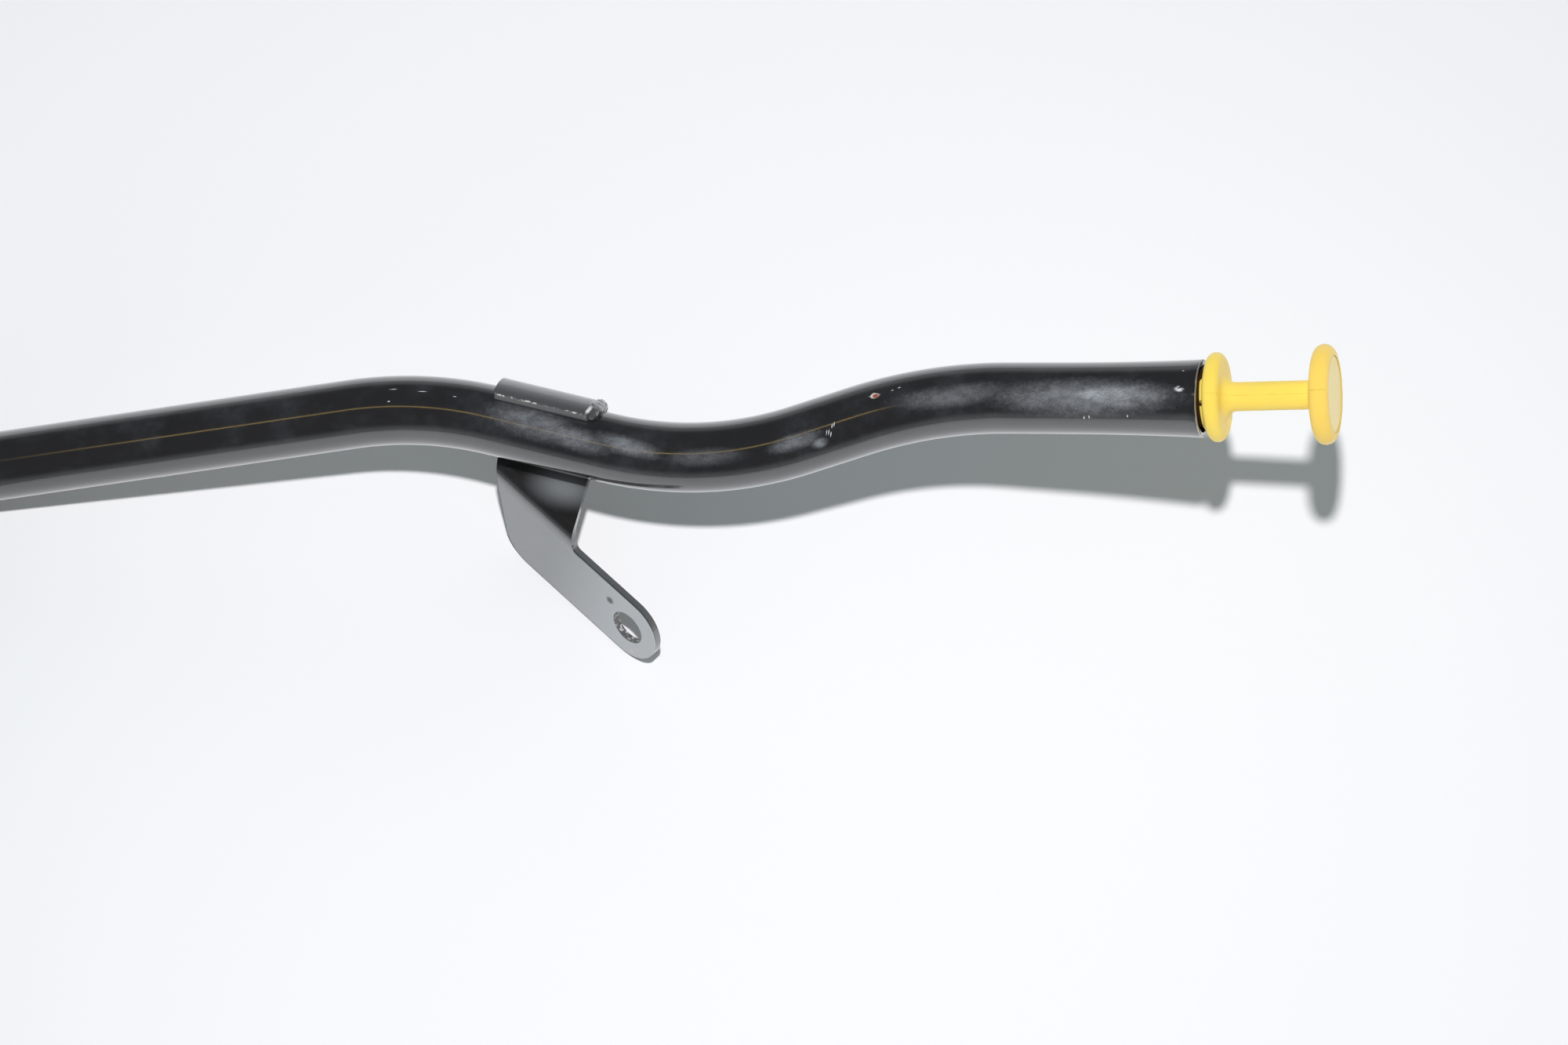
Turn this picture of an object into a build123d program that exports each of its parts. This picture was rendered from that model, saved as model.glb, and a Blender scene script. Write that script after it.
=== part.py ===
"""Engine oil dipstick, seated in its bent guide tube with a welded sheet-metal bracket.

The origin is the centre of the tube's plain lower end, the spigot, whose axis lies along Y. +X runs along
the length of the tube to the pull handle and +Z is up. The assembly lies on its lower run and on the lower
edge of the bracket's arm.
"""
import os
from math import cos, radians, sin, sqrt, tan

from build123d import *

# Guide tube: section, then its straight runs from the spigot to the mouth, corner to corner
TUBE_OD = 20.0
TUBE_WALL = 1.5
LOWER_RUN = 240.7
LONG_RUN = 172.9
SADDLE_RUN = 84.2
DIP_RUN = 68.1
NECK_RUN = 77.7

# Heading of each run in plan, from +X towards +Y, and its rise, in degrees
LONG_RUN_HEADING_ANGLE = 5.37
LONG_RUN_RISE_ANGLE = 8.78
SADDLE_RUN_HEADING_ANGLE = -16.12
SADDLE_RUN_RISE_ANGLE = 4.70
DIP_RUN_HEADING_ANGLE = 13.45
DIP_RUN_RISE_ANGLE = 14.97
NECK_RUN_HEADING_ANGLE = -7.11
NECK_RUN_RISE_ANGLE = 16.76

# Bend radii on the centre line
LOWER_BEND_RADIUS = 40.0
CREST_BEND_RADIUS = 111.0
TROUGH_BEND_RADIUS = 105.0
NECK_BEND_RADIUS = 125.0

# Mouth: the neck opens in one long gentle flare
FLARE_LENGTH = 40.0
MOUTH_OD = 21.6
RIM_CHAMFER = 0.35
UPPER_FRONT_ANGLE = 70.0

# Bracket: saddle strap round the tube, flat flap, diagonal fold, arm with a bolt hole
SHEET = 2.5
WELD_GAP = 0.12
STRAP_WIDTH = 28.6
STRAP_FROM_CREST = 35.8
STRAP_WRAP_ANGLE = 155.5
FLAP_SLOPE_ANGLE = 7.7
FLAP_TAPER_ANGLE = 8.6
FOLD_REACH = 18.2
FOLD_SKEW_ANGLE = 27.6
FOLD_ANGLE = 60.5
FOLD_INNER_RADIUS = 3.0
ARM_HOLE_ALONG = 42.8
ARM_DROP = 27.21
ARM_WIDTH = 21.3
ARM_HOLE_DIAMETER = 11.0
ARM_SIDE_SLANT_ANGLE = 25.5
ARM_HEEL_RADIUS = 12.0

# Tack weld bead along the strap's upper end
WELD_LEG = 2.4
WELD_FROM_STRAP_END_ANGLE = 6.0
WELD_SWEEP_ANGLE = 80.0

# Pull handle: plug in the mouth, shoulder on the rim, grip flange, stem, end disc
HANDLE_LEAN_ANGLE = 1.6
SEAT_GAP = 0.6
PLUG_LENGTH = 18.0
PLUG_CLEARANCE = 0.4
PLUG_NOSE_CHAMFER = 1.2
SHOULDER_DIAMETER = 19.8
SHOULDER_HEIGHT = 2.0
NOTCH_WIDTH = 1.3
NOTCH_DEPTH = 0.9
NOTCH_ANGLE = 8.6
FLANGE_DIAMETER = 24.7
FLANGE_THICKNESS = 4.5
FLANGE_LIFT = 0.95
FLANGE_FILLET = 3.2
STEM_DIAMETER = 8.0
GRIP_GAP = 24.9
DISC_DIAMETER = 27.5
DISC_THICKNESS = 5.4
FACE_DIAMETER = 21.0
FACE_RECESS = 0.25
RIM_FACETS = 12

# Square-cut seal ring in the plug's groove
SEAL_SECTION = 2.4
SEAL_CHAMFER = 0.4
SEAL_DEPTH = 11.0
SEAL_CLEARANCE = 0.06
GROOVE_PLAY = 0.1

# Spring steel strip and moulded measuring tip with two level holes
STRIP_WIDTH = 4.5
STRIP_THICKNESS = 1.0
STRIP_IN_PLUG = 10.0
STRIP_LEAD = 8.0
STRIP_LEAD_RADIUS = 125.0
SLOT_FIT = 0.03
TIP_FROM_SPIGOT = 6.0
TIP_LENGTH = 52.0
TIP_WIDTH = 6.4
TIP_THICKNESS = 3.2
TIP_EDGE_CHAMFER = 0.5
STRIP_IN_TIP = 9.0
LEVEL_HOLE_DIAMETER = 2.2
LEVEL_HOLE_FROM_END = 8.0
LEVEL_SPAN = 22.0

os.makedirs("parts", exist_ok=True)


def run(length, heading, rise):
    """A straight run of the tube as a vector."""
    level = length * cos(radians(rise))
    return Vector(level * cos(radians(heading)), level * sin(radians(heading)), length * sin(radians(rise)))


def square_to(line, direction):
    """The part of a direction that is square to a line, as a unit vector."""
    return (direction - line * direction.dot(line)).normalized()


def flare_at(depth):
    """How far the flare, one arc tangent to the neck, has opened at a depth below the rim."""
    rise = mouth_radius - tube_radius
    arc_radius = (FLARE_LENGTH**2 + rise**2) / (2 * rise)
    return arc_radius - sqrt(arc_radius**2 - (FLARE_LENGTH - depth) ** 2)


# Tube centre line and mouth
tube_radius = TUBE_OD / 2
bore_radius = tube_radius - TUBE_WALL
mouth_radius = MOUTH_OD / 2
spigot_centre = Vector(0, 0, 0)
lower_corner = Vector(0, LOWER_RUN, 0)
crest_corner = lower_corner + run(LONG_RUN, LONG_RUN_HEADING_ANGLE, LONG_RUN_RISE_ANGLE)
trough_corner = crest_corner + run(SADDLE_RUN, SADDLE_RUN_HEADING_ANGLE, SADDLE_RUN_RISE_ANGLE)
neck_corner = trough_corner + run(DIP_RUN, DIP_RUN_HEADING_ANGLE, DIP_RUN_RISE_ANGLE)
mouth_centre = neck_corner + run(NECK_RUN, NECK_RUN_HEADING_ANGLE, NECK_RUN_RISE_ANGLE)
mouth_out = (mouth_centre - neck_corner).normalized()
neck_end = mouth_centre - mouth_out * FLARE_LENGTH
bend_radii = [LOWER_BEND_RADIUS, CREST_BEND_RADIUS, TROUGH_BEND_RADIUS, NECK_BEND_RADIUS]

# Mouth section: x runs out from the axis to the upper front, y out of the mouth
upper_front_sight = Vector(0, -cos(radians(UPPER_FRONT_ANGLE)), sin(radians(UPPER_FRONT_ANGLE)))
upper_front = square_to(mouth_out, upper_front_sight)
mouth_section = Plane(mouth_centre, x_dir=upper_front, z_dir=upper_front.cross(mouth_out))

# Guide tube: swept run from the spigot to the neck, then the revolved mouth
with BuildPart() as guide_tube:
    with BuildLine():
        FilletPolyline(
            spigot_centre,
            lower_corner,
            crest_corner,
            trough_corner,
            neck_corner,
            neck_end,
            radius=bend_radii,
        )
    with BuildSketch(Plane(spigot_centre, x_dir=(1, 0, 0), z_dir=(0, 1, 0))):
        Circle(tube_radius)
        Circle(bore_radius, mode=Mode.SUBTRACT)
    sweep()
    with BuildSketch(mouth_section):
        with BuildLine():
            outside = TangentArc((tube_radius, -FLARE_LENGTH), (mouth_radius, 0), tangent=(0, 1))
            inside = TangentArc((bore_radius, -FLARE_LENGTH), (mouth_radius - TUBE_WALL, 0), tangent=(0, 1))
            Line(outside @ 0, inside @ 0)
            Line(outside @ 1, inside @ 1)
        make_face()
        chamfer(vertices().sort_by(Axis.Y)[-2:], RIM_CHAMFER)
    revolve(axis=Axis(mouth_centre, mouth_out))
guide_tube.part.label = "guide_tube"

# Saddle frame: x runs out along the flap, y down, z along the tube
# Flap frame: x runs along the tube, y out, z down
saddle_radius = tube_radius + WELD_GAP
strap_run = (trough_corner - crest_corner).normalized()
strap_centre = crest_corner + strap_run * STRAP_FROM_CREST
flap_out = square_to(strap_run, Vector(0, -1, 0)).rotate(Axis((0, 0, 0), strap_run), FLAP_SLOPE_ANGLE)
saddle = Plane(strap_centre, x_dir=flap_out, z_dir=strap_run)
flap = Plane(saddle.from_local_coords((0, saddle_radius, 0)), x_dir=saddle.z_dir, z_dir=saddle.y_dir)

# Fold frame, at the fold's sharp outer corner: x out across the fold, y down, z along it
fold_along = flap.x_dir * cos(radians(FOLD_SKEW_ANGLE)) + flap.y_dir * sin(radians(FOLD_SKEW_ANGLE))
fold_across = flap.y_dir * cos(radians(FOLD_SKEW_ANGLE)) - flap.x_dir * sin(radians(FOLD_SKEW_ANGLE))
fold = Plane(flap.from_local_coords((0, FOLD_REACH, 0)), x_dir=fold_across, z_dir=fold_along)

# Arm frame, on the arm's outer face: x along the fold, y down the arm from the same corner, z into the sheet
arm_heading = Vector(cos(radians(FOLD_ANGLE)), sin(radians(FOLD_ANGLE)))
arm_down = fold.x_dir * arm_heading.X + fold.y_dir * arm_heading.Y
arm = Plane(fold.origin, x_dir=fold_along, z_dir=fold_along.cross(arm_down))
arm_end_radius = ARM_WIDTH / 2
arm_top = ARM_DROP - ARM_WIDTH
hole_centre = (ARM_HOLE_ALONG, ARM_DROP - arm_end_radius)

# Side cuts of the sheet: square to the tube at the strap's far end, tapered at its near end
tube_side = Plane(saddle.origin, z_dir=saddle.x_dir)
far_side = Plane(flap.from_local_coords((STRAP_WIDTH / 2, 0, 0)), z_dir=flap.x_dir)
near_side = Plane(
    flap.from_local_coords((-STRAP_WIDTH / 2, 0, 0)),
    z_dir=flap.y_dir * sin(radians(FLAP_TAPER_ANGLE)) - flap.x_dir * cos(radians(FLAP_TAPER_ANGLE)),
)
blank_reach = FOLD_REACH + STRAP_WIDTH
blank_half_length = STRAP_WIDTH

# The arm's slanted near side starts where the flap's near side crosses the fold
taper = tan(radians(FLAP_TAPER_ANGLE))
skew_cos = cos(radians(FOLD_SKEW_ANGLE))
skew_sin = sin(radians(FOLD_SKEW_ANGLE))
near_start = (taper * FOLD_REACH - STRAP_WIDTH / 2) / (skew_cos - taper * skew_sin)
near_drift = (skew_sin + taper * skew_cos) * arm_heading.X / (skew_cos - taper * skew_sin)
arm_side_start = near_start + near_drift * arm_top
arm_side_end = arm_side_start + ARM_WIDTH * tan(radians(ARM_SIDE_SLANT_ANGLE))

with BuildPart() as bracket:
    # Flap and fold as one bent strip, trimmed to the blank's edges
    with BuildSketch(fold):
        with BuildLine():
            FilletPolyline(
                (-blank_reach, 0), (0, 0), arm_heading * arm_top, radius=FOLD_INNER_RADIUS + SHEET
            )
            offset(amount=SHEET, side=Side.LEFT)
        make_face()
    extrude(amount=blank_half_length, both=True)
    split(bisect_by=tube_side, keep=Keep.TOP)
    split(bisect_by=far_side, keep=Keep.BOTTOM)
    split(bisect_by=near_side, keep=Keep.BOTTOM)
    # Strap round the tube
    with BuildSketch(saddle.offset(-STRAP_WIDTH / 2)):
        with BuildLine():
            strap_inside = CenterArc((0, 0), saddle_radius, 90, STRAP_WRAP_ANGLE)
            strap_outside = CenterArc((0, 0), saddle_radius + SHEET, 90, STRAP_WRAP_ANGLE)
            Line(strap_inside @ 0, strap_outside @ 0)
            Line(strap_inside @ 1, strap_outside @ 1)
        make_face()
    extrude(amount=STRAP_WIDTH)
    # Arm with a rounded heel, a round end and the bolt hole
    with BuildSketch(arm):
        with BuildLine():
            arm_end = CenterArc(hole_centre, arm_end_radius, -90, 180)
            heel = FilletPolyline(
                arm_end @ 1, (arm_side_end, ARM_DROP), (arm_side_start, arm_top), radius=ARM_HEEL_RADIUS
            )
            Line(heel @ 1, arm_end @ 0)
        make_face()
        with Locations(hole_centre):
            Circle(ARM_HOLE_DIAMETER / 2, mode=Mode.SUBTRACT)
    extrude(amount=SHEET)
bracket.part.label = "bracket"

# Weld bead: a plain fillet in the corner between the strap's far end and the tube
weld_end_angle = radians(90 + STRAP_WRAP_ANGLE - WELD_FROM_STRAP_END_ANGLE - WELD_SWEEP_ANGLE)
weld_radial = saddle.x_dir * cos(weld_end_angle) + saddle.y_dir * sin(weld_end_angle)
weld_section = Plane(saddle.origin, x_dir=weld_radial, z_dir=weld_radial.cross(saddle.z_dir))
weld_foot = STRAP_WIDTH / 2 + WELD_GAP

with BuildPart() as bracket_weld:
    with BuildSketch(weld_section):
        with BuildLine():
            Polyline(
                (saddle_radius, weld_foot),
                (saddle_radius + WELD_LEG, weld_foot),
                (saddle_radius, weld_foot + WELD_LEG),
                close=True,
            )
        make_face()
    revolve(axis=Axis(saddle.origin, saddle.z_dir), revolution_arc=WELD_SWEEP_ANGLE)
bracket_weld.part.label = "bracket_weld"

# The moulding leans a little in the mouth, so the handle is turned about its seal
# Handle section: x runs out from the axis to the upper front, y out of the mouth
seal_centre = mouth_centre - mouth_out * SEAL_DEPTH
handle_out = mouth_out.rotate(Axis((0, 0, 0), upper_front), HANDLE_LEAN_ANGLE)
handle_axis = Axis(seal_centre, handle_out)
rim_centre = seal_centre + handle_out * SEAL_DEPTH
plug_nose = rim_centre - handle_out * PLUG_LENGTH
plug_end = Plane(plug_nose, x_dir=upper_front, z_dir=handle_out)
handle_section = Plane(rim_centre, x_dir=upper_front, z_dir=upper_front.cross(handle_out))

seal_outer_radius = bore_radius + flare_at(SEAL_DEPTH) - SEAL_CLEARANCE
groove_radius = seal_outer_radius - SEAL_SECTION - GROOVE_PLAY
groove_width = SEAL_SECTION + 2 * GROOVE_PLAY
plug_radius = bore_radius - PLUG_CLEARANCE
flange_back = SEAT_GAP + FLANGE_LIFT
stem_start = flange_back + FLANGE_THICKNESS
disc_back = stem_start + GRIP_GAP
disc_face = disc_back + DISC_THICKNESS
from_axis = (Align.MIN, Align.MIN)

with BuildPart() as handle:
    with BuildSketch(handle_section):
        # Plug with a chamfered nose and the seal's groove
        with Locations((0, -PLUG_LENGTH)):
            Rectangle(plug_radius, PLUG_LENGTH + stem_start, align=from_axis)
        chamfer(vertices().sort_by_distance((plug_radius, -PLUG_LENGTH))[0], PLUG_NOSE_CHAMFER)
        with Locations((groove_radius, -SEAL_DEPTH)):
            Rectangle(plug_radius, groove_width, align=(Align.MIN, Align.CENTER), mode=Mode.SUBTRACT)
        # Shoulder over the tube's rim
        with Locations((0, SEAT_GAP)):
            Rectangle(SHOULDER_DIAMETER / 2, SHOULDER_HEIGHT, align=from_axis)
        # Grip flange and end disc, both with rims faceted as a full round
        for back, thickness, diameter in (
            (flange_back, FLANGE_THICKNESS, FLANGE_DIAMETER),
            (disc_back, DISC_THICKNESS, DISC_DIAMETER),
        ):
            rim = thickness / 2
            with Locations((0, back)):
                Rectangle(diameter / 2 - rim, thickness, align=from_axis)
            with Locations((diameter / 2 - rim, back + rim)):
                RegularPolygon(rim, RIM_FACETS, major_radius=False, rotation=180 / RIM_FACETS)
        # Stem, filleted into the flange
        with Locations((0, flange_back)):
            Rectangle(STEM_DIAMETER / 2, disc_back - flange_back, align=from_axis)
        fillet(vertices().sort_by_distance((STEM_DIAMETER / 2, stem_start))[0], FLANGE_FILLET)
        # Shallow round recess in the end face
        with Locations((0, disc_face)):
            Rectangle(FACE_DIAMETER / 2, FACE_RECESS, align=(Align.MIN, Align.MAX), mode=Mode.SUBTRACT)
    revolve(axis=handle_axis)
    # Blind slot for the strip
    with BuildSketch(plug_end):
        Rectangle(STRIP_WIDTH + 2 * SLOT_FIT, STRIP_THICKNESS + 2 * SLOT_FIT)
    extrude(amount=STRIP_IN_PLUG + SLOT_FIT, mode=Mode.SUBTRACT)
    # Notch in the shoulder's edge
    with BuildSketch(Plane(rim_centre, x_dir=upper_front, z_dir=handle_out)):
        with PolarLocations(SHOULDER_DIAMETER / 2, 1, start_angle=NOTCH_ANGLE):
            Rectangle(2 * NOTCH_DEPTH, NOTCH_WIDTH)
    extrude(amount=flange_back, mode=Mode.SUBTRACT)
handle.part.label = "handle"

# Seal ring in the plug's groove
with BuildPart() as plug_seal:
    with BuildSketch(Plane(seal_centre, x_dir=upper_front, z_dir=upper_front.cross(handle_out))):
        with Locations((seal_outer_radius, 0)):
            Rectangle(SEAL_SECTION, SEAL_SECTION, align=(Align.MAX, Align.CENTER))
        chamfer(vertices().sort_by(Axis.X)[-2:], SEAL_CHAMFER)
    revolve(axis=handle_axis)
plug_seal.part.label = "plug_seal"

# Strip: straight out of the plug, then along the tube's centre line to the tip beyond the spigot
strip_start = plug_nose + handle_out * STRIP_IN_PLUG
strip_lead_end = plug_nose - handle_out * STRIP_LEAD
strip_end = Vector(0, -TIP_FROM_SPIGOT - STRIP_IN_TIP, 0)

with BuildPart() as dipstick_strip:
    with BuildLine():
        FilletPolyline(
            strip_start,
            strip_lead_end,
            neck_corner,
            trough_corner,
            crest_corner,
            lower_corner,
            strip_end,
            radius=[STRIP_LEAD_RADIUS] + bend_radii[::-1],
        )
    with BuildSketch(Plane(strip_start, x_dir=upper_front, z_dir=-handle_out)):
        Rectangle(STRIP_WIDTH, STRIP_THICKNESS)
    sweep()
    cut_end = faces().sort_by(Axis.Y)[0]
    strip_across = cut_end.edges().sort_by(SortBy.LENGTH)[-1] % 0
dipstick_strip.part.label = "dipstick_strip"

# Measuring tip, moulded round the strip's end and lying in the strip's own plane
tip_mouth = Plane((0, -TIP_FROM_SPIGOT, 0), x_dir=strip_across, z_dir=(0, -1, 0))
tip_flat = Plane(tip_mouth.origin, x_dir=strip_across, z_dir=strip_across.cross(Vector(0, -1, 0)))
tip_round = TIP_WIDTH / 2

with BuildPart() as level_tip:
    with BuildSketch(tip_flat):
        with BuildLine():
            tip_end = CenterArc((0, TIP_LENGTH - tip_round), tip_round, 0, 180)
            Polyline(tip_end @ 1, (-tip_round, 0), (tip_round, 0), tip_end @ 0)
        make_face()
        lower_hole = (0, TIP_LENGTH - LEVEL_HOLE_FROM_END)
        upper_hole = (0, TIP_LENGTH - LEVEL_HOLE_FROM_END - LEVEL_SPAN)
        with Locations(lower_hole, upper_hole):
            Circle(LEVEL_HOLE_DIAMETER / 2, mode=Mode.SUBTRACT)
    extrude(amount=TIP_THICKNESS / 2, both=True)
    broad_faces = faces().filter_by(Axis((0, 0, 0), tip_flat.z_dir))
    chamfer([face.outer_wire().edges() for face in broad_faces], TIP_EDGE_CHAMFER)
    with BuildSketch(tip_mouth):
        Rectangle(STRIP_WIDTH + 2 * SLOT_FIT, STRIP_THICKNESS + 2 * SLOT_FIT)
    extrude(amount=STRIP_IN_TIP + SLOT_FIT, mode=Mode.SUBTRACT)
level_tip.part.label = "level_tip"

export_step(guide_tube.part, "parts/guide_tube.step")
export_step(bracket.part, "parts/bracket.step")
export_step(bracket_weld.part, "parts/bracket_weld.step")
export_step(handle.part, "parts/handle.step")
export_step(plug_seal.part, "parts/plug_seal.step")
export_step(dipstick_strip.part, "parts/dipstick_strip.step")
export_step(level_tip.part, "parts/level_tip.step")
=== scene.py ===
"""Engine oil dipstick seated in its bent guide tube: the finished pieces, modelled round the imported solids.

Lengths are in metres in the part's own frame. The origin is the centre of the tube's plain lower end, +X runs along
the tube to the pull handle, +Z is up, and the assembly lies on the floor.
"""
from math import cos, pi, radians, sin, sqrt, tan

import bpy
from mathutils import Matrix, Vector


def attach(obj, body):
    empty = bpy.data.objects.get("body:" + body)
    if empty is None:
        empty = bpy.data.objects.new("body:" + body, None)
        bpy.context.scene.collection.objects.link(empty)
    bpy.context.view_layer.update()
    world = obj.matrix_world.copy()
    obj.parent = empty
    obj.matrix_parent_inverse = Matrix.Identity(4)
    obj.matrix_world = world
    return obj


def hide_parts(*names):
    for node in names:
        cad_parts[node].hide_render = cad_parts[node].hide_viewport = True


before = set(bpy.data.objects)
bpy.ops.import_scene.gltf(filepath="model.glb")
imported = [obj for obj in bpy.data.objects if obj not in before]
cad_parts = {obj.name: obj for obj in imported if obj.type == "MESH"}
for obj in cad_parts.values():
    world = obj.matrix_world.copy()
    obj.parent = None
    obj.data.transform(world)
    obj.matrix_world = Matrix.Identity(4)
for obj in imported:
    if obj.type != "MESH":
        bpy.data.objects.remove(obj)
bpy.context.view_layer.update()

MM = 0.001
SAME_POINT = 0.001 * MM

# Straight runs of the tube's centre line, from corner to corner: length in millimetres, heading and rise in degrees
SPIGOT_RUN = (240.7, 90, 0)
LONG_RUN = (172.9, 5.37, 8.78)
STRAP_RUN = (84.2, -16.12, 4.70)
DIP_RUN = (68.1, 13.45, 14.97)
NECK_RUN = (77.7, -7.11, 16.76)

# Guide tube, as the solids have it
TUBE_RADIUS = 10.0 * MM
TUBE_WALL = 1.5 * MM
LOWER_BEND_RADIUS = 40.0 * MM
CREST_BEND_RADIUS = 111.0 * MM
TROUGH_BEND_RADIUS = 105.0 * MM
NECK_BEND_RADIUS = 125.0 * MM
FLARE_LENGTH = 40.0 * MM
MOUTH_RADIUS = 10.8 * MM
RIM_ROUNDING = 0.35 * MM
TUBE_SIDES = 120
BEND_STEPS = 24
FLARE_STEPS = 16

# Bracket: a flat blank, wrapped round the tube at one end and folded across its flap
SHEET = 2.5 * MM
SHEET_EDGE_ROUNDING = 0.3 * MM
STRAP_WIDTH = 28.6 * MM
STRAP_FROM_CREST = 35.8 * MM
STRAP_WRAP = radians(155.5)
STRAP_CORNER_RADIUS = 0.8 * MM
SADDLE_RADIUS = 10.12 * MM
FLAP_SLOPE = radians(7.7)
FLAP_TAPER = radians(8.6)
FOLD_REACH = 18.2 * MM
FOLD_SKEW = radians(27.6)
FOLD_TURN = radians(60.5)
FOLD_RADIUS = 5.5 * MM
ARM_TOP = 5.91 * MM
ARM_DROP = 27.21 * MM
ARM_END = 53.449 * MM
ARM_SIDE_SLANT = radians(25.5)
ARM_HEEL_RADIUS = 12.0 * MM
ARM_TIP_RADIUS = 10.645 * MM
ARM_NECK_RADIUS = 2.0 * MM
BOLT_HOLE_ALONG = 42.8 * MM
BOLT_HOLE_DROP = 16.56 * MM
BOLT_HOLE_RADIUS = 5.5 * MM
BOLT_HOLE_SIDES = 64
SMALL_CORNER = 3.0 * MM
SMALL_CORNER_STEPS = 4
LARGE_CORNER_STEPS = 14
WRAP_STEPS = 36
FOLD_STEPS = 12

# Tack weld at the strap's end: its ripples are a share of its radius and a turn from step to step
WELD_START = radians(154.0)
WELD_SWEEP = radians(80.0)
WELD_PAST_STRAP = 0.4 * MM
WELD_OFF_SADDLE = 0.9 * MM
WELD_RADIUS = 2.0 * MM
WELD_START_RADIUS = 0.5 * MM
WELD_LEAST_SWELL = 0.05
WELD_RIPPLES = ((0.06, 2.1), (0.08, 0.9))
WELD_LUMP_SIZE = 2.4 * MM
WELD_LUMP_HEIGHT = 0.7 * MM
WELD_STEPS = 22
WELD_SIDES = 20

# Pull handle, along its axis from the tube's rim
HANDLE_LEAN = radians(1.6)
SEAL_DEPTH = 11.0 * MM
GROOVE_RADIUS = 6.36 * MM
GROOVE_WIDTH = 2.6 * MM
PLUG_LENGTH = 18.0 * MM
PLUG_RADIUS = 8.1 * MM
PLUG_NOSE_CHAMFER = 1.2 * MM
SEAT_GAP = 0.6 * MM
SHOULDER_RADIUS = 9.0 * MM
FLANGE_BACK = 1.55 * MM
FLANGE_RADIUS = 12.35 * MM
FLANGE_THICKNESS = 4.5 * MM
FLANGE_FILLET = 3.2 * MM
STEM_RADIUS = 4.0 * MM
GRIP_GAP = 24.9 * MM
DISC_RADIUS = 13.75 * MM
DISC_THICKNESS = 5.4 * MM
FACE_RADIUS = 10.5 * MM
FACE_RECESS = 0.25 * MM
NOTCH_WIDTH = 1.3 * MM
NOTCH_DEPTH = 0.9 * MM
NOTCH_LENGTH = 4.0 * MM
NOTCH_ANGLE = radians(12.4)
PARTING_ANGLE = radians(-3.2)
PARTING_RIDGE = 0.07 * MM
PARTING_STOP = 0.3 * MM
ON_PARTING = 0.01 * MM
MOULD_ROUNDING = 0.18 * MM
HANDLE_SIDES = 240
FLANGE_STEPS = 20
FILLET_STEPS = 12
DISC_STEPS = 22

# Camera and floor
CAMERA_LENS = 90.0
CAMERA_SENSOR = 36.0
CAMERA_PLACE = Vector((273.4, -160.3, 1072.3)) * MM
CAMERA_ELEVATION = radians(70.0)
FLOOR_MIDDLE = Vector((270.0, 220.0, -10.02)) * MM
FLOOR_SIZE = 12.0

# Key lamp, and what the room holds: heights and tilts are angles, and its two sides go by the X of the line of sight
KEY_PLACE = Vector((276, 96, 1170)) * MM
KEY_AIM = Vector((273, 219, 28)) * MM
KEY_WIDTH = 52 * MM
KEY_POWER = 10.8
HORIZON_TOP = radians(22)
WALL_TOP = radians(40)
HANDLE_SIDE = (0.3, 0.9)
STRIP_TILT = radians(81.5)
STRIP_EDGE = (radians(1.0), radians(2.6))
STRIP_START = (-0.43, -0.385)
STRIP_END = (-0.345, -0.33)

# Colours, as linear red, green and blue. A pair is the dark and the light of one mottled colour.
TUBE_BLACK = (0.010, 0.010, 0.0115), (0.016, 0.016, 0.018)
TUBE_DUST = (0.36, 0.375, 0.41)
BARE_STEEL = (0.74, 0.75, 0.77)
CHIP_PRIMER = (0.72, 0.66, 0.61)
CHIP_RUST = (0.30, 0.075, 0.045)
BRACKET_BLACK = (0.004, 0.004, 0.0045), (0.007, 0.007, 0.008)
# Dust; on the arm it also stands in for a painted reflection that brightens it towards the tip
BRACKET_DUST_AND_SHEEN = (0.48, 0.505, 0.535)
CUT_STEEL = (0.25, 0.25, 0.26)
WELD_CRUST = (0.34, 0.34, 0.35)
# Painted highlights on the weld and the cut, and the bright wear and painted glints along the cut edge
GLINT_AND_WEAR_WHITE = (0.74, 0.73, 0.70)
OIL_SPOT = (0.02, 0.02, 0.02)
PRIMER_SPOT = (0.62, 0.50, 0.47)
HOLE_GREY = (0.10, 0.10, 0.105)
HOLE_STEEL = (0.70, 0.70, 0.72)
HANDLE_YELLOW = (0.985, 0.69, 0.11), (0.99, 0.74, 0.165)
DISC_YELLOW = (0.98, 0.62, 0.14)
FACE_YELLOW = (0.99, 0.77, 0.33)
# Painted shadow line round the step of the disc's recessed face
FACE_STEP_SHADE = (0.30, 0.24, 0.08)
PARTING_BROWN = (0.50, 0.24, 0.03)
# Painted shade, with some grime, in the gap behind the flange; grime in the notch
SHADE_AND_GRIME_BROWN = (0.045, 0.018, 0.007)
RUBBER_BLACK = (0.017, 0.017, 0.018)
RUBBER_DUST = (0.2, 0.19, 0.17)
STRIP_STEEL = (0.44, 0.44, 0.43), (0.60, 0.60, 0.59)
OIL_FILM = (0.34, 0.25, 0.13)
TIP_DRY = (0.035, 0.033, 0.031)
TIP_WET = (0.022, 0.017, 0.011)
FLOOR_WHITE = (0.95, 0.935, 0.96)
CEILING = (0.085, 0.137, 0.150)
WALL = (1.02, 0.965, 0.89)
HANDLE_WALL = (1.85, 1.76, 1.62)
MIRRORED_CEILING = (0.070, 0.070, 0.075)
MIRRORED_HORIZON = (0.38, 0.39, 0.40)
MIRRORED_STRIP = (1.7, 1.2, 0.42)
BACKDROP = (0.92, 0.94, 0.96)


def run(length, heading, rise):
    """A straight run of the tube as a vector, from its length in millimetres and its angles in degrees."""
    level = length * cos(radians(rise))
    along = Vector((level * cos(radians(heading)), level * sin(radians(heading)), length * sin(radians(rise))))
    return along * MM


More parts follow.
